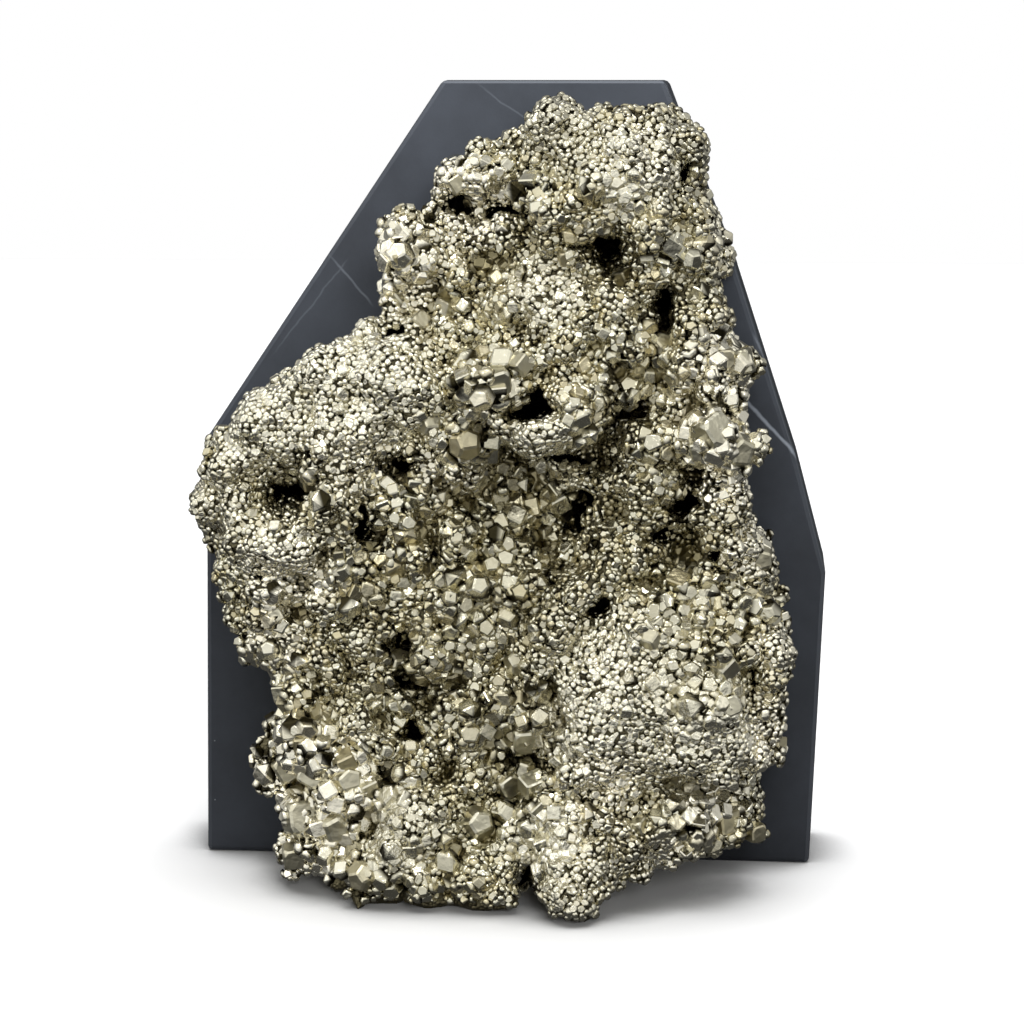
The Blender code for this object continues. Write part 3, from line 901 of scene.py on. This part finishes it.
class GrowthTree(Tree):
    """The nodes that grow crystals on a crust. Their sizes are named inputs."""

    numbers = ("Spacing", "Smallest", "Largest", "Tilt", "Front From", "Front To", "Coarse From", "Coarse To",
               "Low", "High")
    kinds = {"Shapes": "Collection", "Finish": "Material", "Seed": "Int"} | dict.fromkeys(numbers, "Float")

    def __init__(self) -> None:
        """Makes the tree's sockets and nodes."""
        super().__init__(bpy.data.node_groups.new("grow crystals", "GeometryNodeTree"))
        face = self.tree.interface
        face.new_socket("Geometry", in_out="INPUT", socket_type="NodeSocketGeometry")
        face.new_socket("Geometry", in_out="OUTPUT", socket_type="NodeSocketGeometry")
        for title, kind in self.kinds.items():
            face.new_socket(title, in_out="INPUT", socket_type="NodeSocket" + kind)
        self.grow()

    def math(self, operation: str, *terms: object) -> bpy.types.NodeSocket:
        """Adds a Math node and returns its result."""
        return self.add("ShaderNodeMath", {"operation": operation}, dict(enumerate(terms))).outputs[0]

    def between(self, value: object, low: object, high: object) -> bpy.types.NodeSocket:
        """Returns 1 where a value lies between two limits, else 0."""
        above = self.math("GREATER_THAN", value, low)
        below = self.math("LESS_THAN", value, high)
        return self.math("MULTIPLY", above, below)

    def field(self, name: str) -> bpy.types.NodeSocket:
        """Returns an attribute of the crust."""
        node = self.add("GeometryNodeInputNamedAttribute", {"data_type": "FLOAT"}, {"Name": name})
        return node.outputs["Attribute"]

    def random(self, low: object, high: object, seed: int) -> bpy.types.NodeSocket:
        """Returns a random number, or a random vector where low is one, for each point."""
        kind, first = ("FLOAT_VECTOR", 0) if isinstance(low, tuple) else ("FLOAT", 2)
        sockets = {first: low, first + 1: high, "Seed": seed}
        return self.add("FunctionNodeRandomValue", {"data_type": kind}, sockets).outputs[first // 2]

    def part(self, kind: str, axis: str) -> bpy.types.NodeSocket:
        """Returns one part of the vector that a node of the given kind reads."""
        return self.add("ShaderNodeSeparateXYZ", None, {0: self.add(kind).outputs[0]}).outputs[axis]

    def grow(self) -> None:
        """Fills the tree: scatter points, stand a crystal on each, make them plain and dress them."""
        given = self.add("NodeGroupInput").outputs
        ragged = self.math("ADD", self.field("coarse"), self.grit())
        allowed = self.math("LESS_THAN", self.field("bare"), 0.5)
        for value, low, high in (
            (self.part("GeometryNodeInputNormal", "Y"), "Front From", "Front To"),
            (ragged, "Coarse From", "Coarse To"),
            (self.part("GeometryNodeInputPosition", "Z"), "Low", "High"),
        ):
            allowed = self.math("MULTIPLY", allowed, self.between(value, given[low], given[high]))
        points = self.add("GeometryNodeDistributePointsOnFaces", {"distribute_method": "POISSON"}, {
            "Mesh": given["Geometry"],
            "Distance Min": given["Spacing"],
            "Density Max": MOST_CRYSTALS,
            "Density Factor": allowed,
            "Seed": given["Seed"],
        })
        turn = self.random((-1.0, -1.0, -3.14), (1.0, 1.0, 3.14), 11)
        tilt = self.add("ShaderNodeCombineXYZ", None, {0: given["Tilt"], 1: given["Tilt"], 2: 1.0}).outputs[0]
        turn = self.add("ShaderNodeVectorMath", {"operation": "MULTIPLY"}, {0: turn, 1: tilt}).outputs[0]
        euler = self.add("FunctionNodeEulerToRotation", None, {0: turn}).outputs[0]
        stand = self.add("FunctionNodeRotateRotation", {"rotation_space": "LOCAL"}, {
            0: points.outputs["Rotation"], 1: euler,
        }).outputs[0]
        size = self.random(given["Smallest"], given["Largest"], 5)
        stretch = self.random((0.82,) * 3, (1.18,) * 3, 21)
        scale = self.add("ShaderNodeVectorMath", {"operation": "SCALE"}, {0: stretch, "Scale": size})
        shapes = self.add("GeometryNodeCollectionInfo", None, {
            "Collection": given["Shapes"], "Separate Children": True, "Reset Children": True,
        }).outputs[0]
        pick = self.add("FunctionNodeRandomValue", {"data_type": "INT"}, {4: 0, 5: 7, "Seed": 31}).outputs[2]
        crystals = self.add("GeometryNodeInstanceOnPoints", None, {
            "Points": points.outputs["Points"], "Instance": shapes, "Pick Instance": True,
            "Instance Index": pick, "Rotation": stand, "Scale": scale.outputs[0],
        }).outputs[0]
        named = self.add("GeometryNodeStoreNamedAttribute", {"data_type": "FLOAT", "domain": "INSTANCE"}, {
            "Geometry": crystals, "Name": "grain", "Value": self.random(0.0, 1.0, 41),
        }).outputs[0]
        plain = self.add("GeometryNodeRealizeInstances", None, {0: named}).outputs[0]
        dressed = self.add("GeometryNodeSetMaterial", None, {"Geometry": plain, "Material": given["Finish"]})
        self.add("NodeGroupOutput", None, {0: dressed.outputs[0]})

    def grit(self) -> bpy.types.NodeSocket:
        """Returns a small random wave that frays the edges of the patches."""
        wave = self.add("ShaderNodeTexNoise", None, {"Scale": 170.0, "Detail": 2.0}).outputs[0]
        return self.math("MULTIPLY", self.math("SUBTRACT", wave, 0.5), 0.9)

    def identifier(self, name: str) -> str:
        """Returns the identifier of a named input."""
        for item in self.tree.interface.items_tree:
            if item.item_type == "SOCKET" and item.in_out == "INPUT" and item.name == name:
                return item.identifier
        raise KeyError(name)


@dataclass(frozen=True)
class Layer:
    """One layer of crystals: where it grows and how large and tilted its crystals are."""

    name: str
    facing: Facing
    shapes: tuple
    spacing: float
    smallest: float
    largest: float
    tilt: float
    seed: int
    coarse: tuple = (-1.0, 0.75)
    height: tuple = (0.0, 200.0)

    def limits(self) -> tuple:
        """Returns the range of the normal's Y that the layer grows on."""
        return (-1.1, -0.12) if self.facing is Facing.FRONT else (-0.12, 1.1)

    def build(self, crust: bpy.types.Object, tree: GrowthTree, finish: bpy.types.ID) -> bpy.types.Object:
        """Grows the layer on the crust.

        Args:
            crust: the ground that the crystals stand on.
            tree: the node tree that grows them.
            finish: their material.

        Returns:
            The layer as one plain mesh.
        """
        maker = CrystalShapes()
        shapes = maker.build(self.shapes)
        piece = add_object(self.name, crust.data.copy())
        grow = piece.modifiers.new("grow", "NODES")
        grow.node_group = tree.tree
        low, high = self.limits()
        for name, value in (
            ("Shapes", shapes), ("Finish", finish), ("Spacing", self.spacing * MM),
            ("Smallest", self.smallest), ("Largest", self.largest), ("Tilt", self.tilt), ("Seed", self.seed),
            ("Front From", low), ("Front To", high), ("Coarse From", self.coarse[0]),
            ("Coarse To", self.coarse[1]), ("Low", self.height[0] * MM), ("High", self.height[1] * MM),
        ):
            grow[tree.identifier(name)] = value
        bake_modifiers(piece)
        piece.data.name = self.name
        maker.discard(shapes)
        return piece


FINE_SHAPES = (
    "soft_bead_a", "soft_cobble_a", "soft_bead_b", "soft_cobble_c", "soft_bead_c", "cobble_b",
    "soft_cobble_b", "soft_bead_b",
)
MEDIUM_SHAPES = (
    "soft_cobble_b", "soft_bead_b", "soft_cobble_c", "soft_cobble_a", "worn_cuboctahedron", "soft_bead_a",
    "cobble_a", "soft_cobble_d",
)
BOLD_SHAPES = (
    "soft_cobble_b", "worn_pyritohedron", "soft_cobble_a", "worn_cuboctahedron", "worn_cobble_b",
    "soft_bead_a", "soft_cobble_c", "worn_cube",
)
BANDS = (("base", 1, (0, 42)), ("middle", 2, (42, 84)), ("upper", 3, (84, 122)), ("crown", 4, (122, 200)))


@dataclass
class Cluster:
    """The pyrite cluster: its crust and its layers of crystals."""

    crust: Crust
    layers: tuple = (
        *(Layer(f"druse_fine_{band}", Facing.FRONT, FINE_SHAPES, 1.0, 1.2, 1.75, 0.28, seed, height=height)
          for band, seed, height in BANDS),
        Layer("druse_scatter", Facing.FRONT, MEDIUM_SHAPES, 3.4, 1.6, 2.1, 0.3, 8, (-1.0, 0.6), (2.6, 200)),
        Layer("druse_medium", Facing.FRONT, MEDIUM_SHAPES, 1.7, 1.9, 2.6, 0.35, 5, (0.25, 2.0), (2.6, 200)),
        Layer("druse_coarse", Facing.FRONT, BOLD_SHAPES, 2.6, 2.6, 3.6, 0.5, 6, (0.62, 2.0), (3.8, 200)),
        Layer("druse_flank", Facing.FLANK, FINE_SHAPES, 1.45, 1.5, 2.1, 0.3, 7, coarse=(-1.0, 3.0)),
    )

    def build(self) -> None:
        """Builds the crust and grows every layer, and fixes them to the frame."""
        ground = self.crust.build(CrustFinish().build())
        self.fix(ground)
        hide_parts(CLUSTER_NODE)
        tree = GrowthTree()
        finish = CrystalFinish().build()
        pieces = [layer.build(ground, tree, finish) for layer in self.layers]
        for piece in (*pieces, LargeCrystals().build(ground, finish)):
            self.fix(piece)

    def fix(self, piece: bpy.types.Object) -> None:
        """Fixes a piece to the frame and reports it."""
        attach(piece, "root")
        report(piece)


@dataclass(frozen=True)
class Single:
    """A large crystal: its place on the front, its size, its turn in degrees and how warm it looks."""

    x: float
    z: float
    size: float
    turn: tuple
    warmth: float


@dataclass
class LargeCrystals:
    """The large crystals that catch the eye, each standing on the crust."""

    name: str = "large_crystals"
    far: float = 0.2
    sunk: float = -0.10
    edge: float = 0.08
    # painted shade on each large crystal's faces; its bevelled edges keep the full colour as painted highlights
    face_painted_shade: float = 0.65
    cubes: tuple = rows(
        Single,
        (-37.0, 81.3, 4.2, (25, 35, 20), 0.95), (-18.6, 124.4, 3.6, (35, 20, 30), 0.9),
        (39.0, 89.6, 3.6, (30, 10, 15), 0.2), (47.0, 105.0, 4.6, (15, 55, 25), 0.4),
        (27.3, 103.6, 3.2, (30, 30, 10), 0.6), (-2.1, 67.6, 3.2, (20, 40, 50), 0.0),
        (-37.5, 30.6, 4.2, (40, 20, 10), 1.0), (-36.0, 36.2, 4.0, (15, 30, 30), 0.95),
        (-24.4, 22.0, 3.6, (35, 10, 25), 0.3), (7.3, 24.0, 3.8, (40, 40, 20), 0.0),
        (9.4, 19.8, 3.2, (25, 5, 45), 0.2), (45.0, 15.2, 4.6, (10, 20, 10), 1.0),
        (44.5, 47.8, 4.0, (30, 25, 40), 0.0), (54.6, 31.4, 3.0, (20, 40, 10), 0.9),
        (-43.2, 54.9, 2.6, (15, 20, 35), 0.1), (-9.8, 114.5, 3.4, (30, 35, 5), 0.5),
        (24.2, 120.7, 3.0, (25, 45, 40), 0.8), (37.6, 63.6, 3.4, (15, 40, 60), 0.4),
        (-8.2, 138.1, 3.2, (10, 25, 35), 0.6), (5.5, 105.0, 3.4, (30, 30, 50), 0.5),
        (-29.2, 27.1, 3.6, (45, 15, 30), 0.9),
    )
    cut_cubes: tuple = rows(
        Single,
        (1.1, 101.9, 5.0, (20, 10, 15), 0.0), (-32.0, 80.7, 2.6, (10, 40, 60), 0.5),
        (-21.8, 125.3, 3.2, (20, 50, 10), 0.4), (41.8, 93.2, 5.8, (15, 25, 40), 0.1),
        (43.6, 106.0, 3.6, (25, 10, 5), 0.7), (-32.6, 34.1, 3.6, (30, 45, 5), 1.0),
        (-36.3, 23.5, 4.8, (10, 20, 60), 0.2), (-42.0, 23.5, 5.2, (5, 30, 30), 0.6),
        (-38.0, 15.6, 6.2, (15, 15, 10), 0.5), (5.7, 32.1, 5.0, (30, 20, 5), 0.2),
        (2.6, 22.7, 4.0, (20, 25, 35), 0.3), (50.3, 12.3, 3.4, (30, 40, 20), 0.8),
        (52.3, 55.7, 4.0, (20, 50, 30), 0.1), (45.5, 41.2, 3.6, (10, 10, 25), 0.1),
        (-15.0, 112.2, 3.2, (20, 15, 55), 0.6), (28.6, 16.4, 3.4, (10, 35, 30), 0.5),
        (13.4, 124.9, 3.0, (35, 25, 10), 0.9), (-23.3, 47.7, 3.4, (40, 10, 30), 0.6),
        (-20.2, 116.6, 4.4, (20, 30, 50), 0.6), (-40.1, 7.0, 4.2, (25, 20, 10), 0.5),
        (-7.4, 39.9, 3.2, (25, 35, 45), 0.5),
    )
    pyritohedra: tuple = rows(
        Single,
        (-5.5, 89.5, 4.3, (12, 30, 5), 0.9), (46.4, 88.2, 4.8, (40, 15, 70), 0.5),
        (34.5, 102.7, 3.2, (10, 10, 40), 0.7), (-28.8, 22.8, 4.4, (25, 35, 15), 0.5),
        (-31.2, 13.5, 5.4, (20, 60, 35), 0.4), (46.2, 56.7, 4.0, (15, 30, 50), 0.1),
        (50.2, 66.5, 4.2, (35, 20, 15), 0.6), (-2.8, 15.7, 4.6, (25, 10, 20), 0.2),
        (30.3, 53.3, 3.4, (20, 20, 60), 0.6), (-19.6, 45.6, 3.6, (10, 30, 15), 0.6),
        (31.5, 108.4, 3.4, (30, 15, 25), 0.7), (-25.0, 5.9, 4.0, (15, 45, 20), 0.7),
        (-11.8, 93.3, 3.2, (20, 10, 5), 0.6), (4.1, 46.7, 3.6, (20, 20, 20), 0.5),
    )

    def foothold(self, tree: BVHTree, single: Single) -> tuple:
        """Returns where a crystal stands and the crust's normal there."""
        start = Vector((single.x * MM, -self.far, single.z * MM))
        return tree.ray_cast(start, Vector((0.0, 1.0, 0.0)))[:2]

    def grow(self, surface: bmesh.types.BMesh, single: Single, form: list, foot: tuple) -> tuple:
        """Adds a crystal to the mesh.

        Args:
            surface: the mesh of all of them.
            single: the crystal.
            form: the corners of its form.
            foot: where it stands and the crust's normal there.

        Returns:
            The narrow faces along its edges, and all its faces.
        """
        place, normal = foot
        turn = Euler([math.radians(angle) for angle in single.turn]).to_matrix()
        lay = (normal * 0.5 + Vector((0.0, -1.0, 0.15))).to_track_quat("Z", "Y").to_matrix() @ turn
        centre = place + normal * single.size * self.sunk * MM
        corners = [surface.verts.new(centre + lay @ Vector(point) * single.size * MM) for point in form]
        hull = bmesh.ops.convex_hull(surface, input=corners)["geom"]
        edges = list({edge for face in hull if isinstance(face, bmesh.types.BMFace) for edge in face.edges})
        flat = bmesh.ops.dissolve_limit(surface, angle_limit=math.radians(1.0), verts=corners, edges=edges)
        edges = list({edge for face in flat["region"] for edge in face.edges})
        width = single.size * self.edge * MM
        cut = bmesh.ops.bevel(surface, geom=edges, offset=width, segments=1, affect="EDGES")["faces"]
        return cut, [face for face in (*cut, *flat["region"]) if face.is_valid]

    def build(self, crust: bpy.types.Object, finish: bpy.types.Material) -> bpy.types.Object:
        """Builds the crystals as one mesh.

        Args:
            crust: the ground that they stand on.
            finish: their material.

        Returns:
            The piece.
        """
        graph = bpy.context.evaluated_depsgraph_get()
        graph.update()
        tree = BVHTree.FromObject(crust, graph)
        surface = bmesh.new()
        warmth, tip, bold = [surface.verts.layers.float.new(name) for name in ("grain", "tip", "bold")]
        dim = surface.loops.layers.float.new("dim")
        painted_highlight_edges = set()
        shapes = CrystalShapes()
        for form, singles in (
            (shapes.cube(), self.cubes), (shapes.cut_cube(), self.cut_cubes),
            (shapes.pyritohedron(), self.pyritohedra),
        ):
            for single in singles:
                cut, whole = self.grow(surface, single, form, self.foothold(tree, single))
                painted_highlight_edges.update(cut)
                for vertex in {vertex for face in whole for vertex in face.verts}:
                    vertex[warmth], vertex[tip], vertex[bold] = single.warmth, 1.0, 1.0
        # painted shade on the faces; the bevelled edges stay at full colour as painted highlights
        for face in surface.faces:
            for loop in face.loops:
                loop[dim] = 0.0 if face in painted_highlight_edges else self.face_painted_shade
        bmesh.ops.recalc_face_normals(surface, faces=surface.faces)
        mesh = bpy.data.meshes.new(self.name)
        surface.to_mesh(mesh)
        surface.free()
        mesh.materials.append(finish)
        return add_object(self.name, mesh)


def report(piece: bpy.types.Object) -> None:
    """Logs a finished piece and its triangles."""
    triangles = sum(len(face.vertices) - 2 for face in piece.data.polygons)
    log.info("%s: %d triangles", piece.name, triangles)


@dataclass
class Slab:
    """The upright stone slab, which keeps its solid."""

    def build(self) -> None:
        """Gives the slab its finish."""
        node = frame["nodes"][SLAB_NODE]
        finish = StoneFinish().build()
        for slot in node.material_slots:
            slot.material = finish
        log.info("%s keeps its solid", SLAB_NODE)


@dataclass(frozen=True)
class Softbox:
    """A soft rectangular light: its place and size in metres, and which surfaces it lights."""

    name: str
    place: tuple
    size: tuple
    radiance: float
    on_dull: bool = False
    on_gloss: bool = True
    only: str = ""


@dataclass(frozen=True)
class FloorLight:
    """A far soft light for the floor alone: where it comes from, its spread in degrees and its energy."""

    name: str
    place: tuple
    spread: float
    energy: float


@dataclass
class Studio:
    """A white floor, soft lights and the camera at the photograph's viewing angle."""

    bright_way: tuple = (-0.22, -0.78, 0.58)
    bright_range: tuple = (0.05, 0.90)
    bright_level: float = 0.90
    top_range: tuple = (0.2, 0.95)
    top_level: float = 0.42
    side_range: tuple = (0.5, 0.95)
    side_rise: tuple = (-0.45, 0.1)
    side_level: float = 0.45
    dark_level: float = 0.07
    dull_tint: tuple = (0.97, 0.98, 1.0, 1.0)
    dull_level: float = 0.20
    floor_lights: tuple = (
        FloorLight("over the floor", (0.02, 0.10, 1.0), 50.0, 2.6),
        FloorLight("low over the floor", (0.35, -1.0, 0.36), 30.0, 2.9),
    )
    middle: tuple = (0.0, -0.02, 0.07)
    softboxes: tuple = (
        Softbox("top", (-0.15, -0.30, 1.00), (0.34, 0.24), 6.0),
        Softbox("front left", (-0.75, -0.80, 0.60), (0.14, 0.34), 5.5),
        Softbox("front right", (0.80, -0.65, 0.45), (0.12, 0.30), 5.0),
        Softbox("near the camera", (-0.22, -1.00, 0.42), (0.15, 0.11), 4.2),
        Softbox("wash", (0.02, -0.178, 0.27), (0.27, 0.06), 29.0, True, False, SLAB_NODE),
    )
    camera_place: tuple = (50.2, -610.9, 158.0)
    camera_target: tuple = (0.8, -13.0, 71.6)
    focal_length: float = 105.47
    sensor: float = 36.0
    floor_size: float = 4.0

    def aim(self, thing: bpy.types.Object, place: Vector, target: Vector) -> None:
        """Puts a camera or light in a place and turns it towards a target, both in metres."""
        thing.location = place
        thing.rotation_euler = (target - place).to_track_quat("-Z", "Y").to_euler()

    def camera(self) -> None:
        """Adds the camera."""
        data = bpy.data.cameras.new("camera")
        data.lens = self.focal_length
        data.sensor_width = self.sensor
        data.clip_start = 0.01
        thing = add_object("camera", data)
        self.aim(thing, Vector(self.camera_place) * MM, Vector(self.camera_target) * MM)
        bpy.context.scene.camera = thing

    def hang(self, box: Softbox) -> None:
        """Hangs a soft rectangular light, aimed at the middle of the object.

        Args:
            box: the light's place, size and brightness.
        """
        data = bpy.data.lights.new(box.name, "AREA")
        data.shape = "RECTANGLE"
        data.size, data.size_y = box.size
        data.energy = box.radiance * math.pi * box.size[0] * box.size[1]
        thing = add_object(box.name, data)
        thing.visible_diffuse = box.on_dull
        thing.visible_glossy = box.on_gloss
        if box.only:
            self.restrict(thing, frame["nodes"][box.only])
        self.aim(thing, Vector(box.place), Vector(self.middle))

    def floor(self) -> None:
        """Adds the floor."""
        surface = bmesh.new()
        bmesh.ops.create_grid(surface, x_segments=1, y_segments=1, size=self.floor_size / 2.0)
        mesh = bpy.data.meshes.new("floor")
        surface.to_mesh(mesh)
        surface.free()
        mesh.materials.append(FloorFinish().build())
        floor = add_object("floor", mesh)
        floor.visible_glossy = False
        for light in self.floor_lights:
            self.light_floor(light, floor)

    def light_floor(self, light: FloorLight, floor: bpy.types.Object) -> None:
        """Hangs a light for the floor alone, which leaves a soft shadow at the object's foot.

        Args:
            light: where it comes from, how soft and how strong it is.
            floor: the floor.
        """
        data = bpy.data.lights.new(light.name, "SUN")
        data.energy = light.energy
        data.angle = math.radians(light.spread)
        thing = add_object(light.name, data)
        thing.visible_glossy = False
        self.restrict(thing, floor)
        self.aim(thing, Vector(light.place), Vector())

    def restrict(self, light: bpy.types.Object, lit: bpy.types.Object) -> None:
        """Lets a light shine on one object only.

        Args:
            light: the light.
            lit: the object that it shines on.
        """
        collection = bpy.data.collections.new(f"lit by {light.name}")
        collection.objects.link(lit)
        light.light_linking.receiver_collection = collection

    def world(self) -> None:
        """Sets the studio: white to the camera, even light for dull surfaces, and for gloss a bright region
        high in front, paler light from the top and the sides, and dark elsewhere."""
        world = bpy.data.worlds.new("studio")
        world.use_nodes = True
        world.cycles.sampling_method = "NONE"
        graph = Graph(world.node_tree)
        way = graph.add("ShaderNodeTexCoord").outputs["Generated"]
        across, _, rise = graph.split(way)
        dot = {"operation": "DOT_PRODUCT"}
        bright = graph.number("ShaderNodeVectorMath", "Value", dot, {0: way, 1: self.bright_way})
        bright = bright.step(*self.bright_range)
        side = across.math("ABSOLUTE").step(*self.side_range) * rise.step(*self.side_rise)
        sky = bright * self.bright_level + rise.step(*self.top_range) * self.top_level + self.dark_level
        sky = sky + side * self.side_level
        gloss = graph.add("ShaderNodeBackground", None, {"Color": (1.0, 1.0, 0.98, 1.0), "Strength": sky})
        dull = graph.add("ShaderNodeBackground", None, {"Color": self.dull_tint, "Strength": self.dull_level})
        white = graph.add("ShaderNodeBackground", None, {"Color": (1.0, 1.0, 1.0, 1.0)})
        path = graph.add("ShaderNodeLightPath").outputs
        shown = dull
        for ray, light in (("Is Glossy Ray", gloss), ("Is Camera Ray", white)):
            choice = {0: path[ray], 1: shown.outputs[0], 2: light.outputs[0]}
            shown = graph.add("ShaderNodeMixShader", None, choice)
        graph.add("ShaderNodeOutputWorld", None, {"Surface": shown.outputs[0]})
        bpy.context.scene.world = world

    def build(self) -> None:
        """Builds the studio."""
        bpy.context.scene.view_settings.view_transform = "Standard"
        self.camera()
        self.floor()
        self.world()
        for box in self.softboxes:
            self.hang(box)


def main() -> None:
    """Builds the studio, the slab and the cluster."""
    logging.basicConfig(level=logging.INFO, format="%(name)s: %(message)s")
    Studio().build()
    Slab().build()
    Cluster(Crust()).build()


if __name__ == "__main__":
    main()
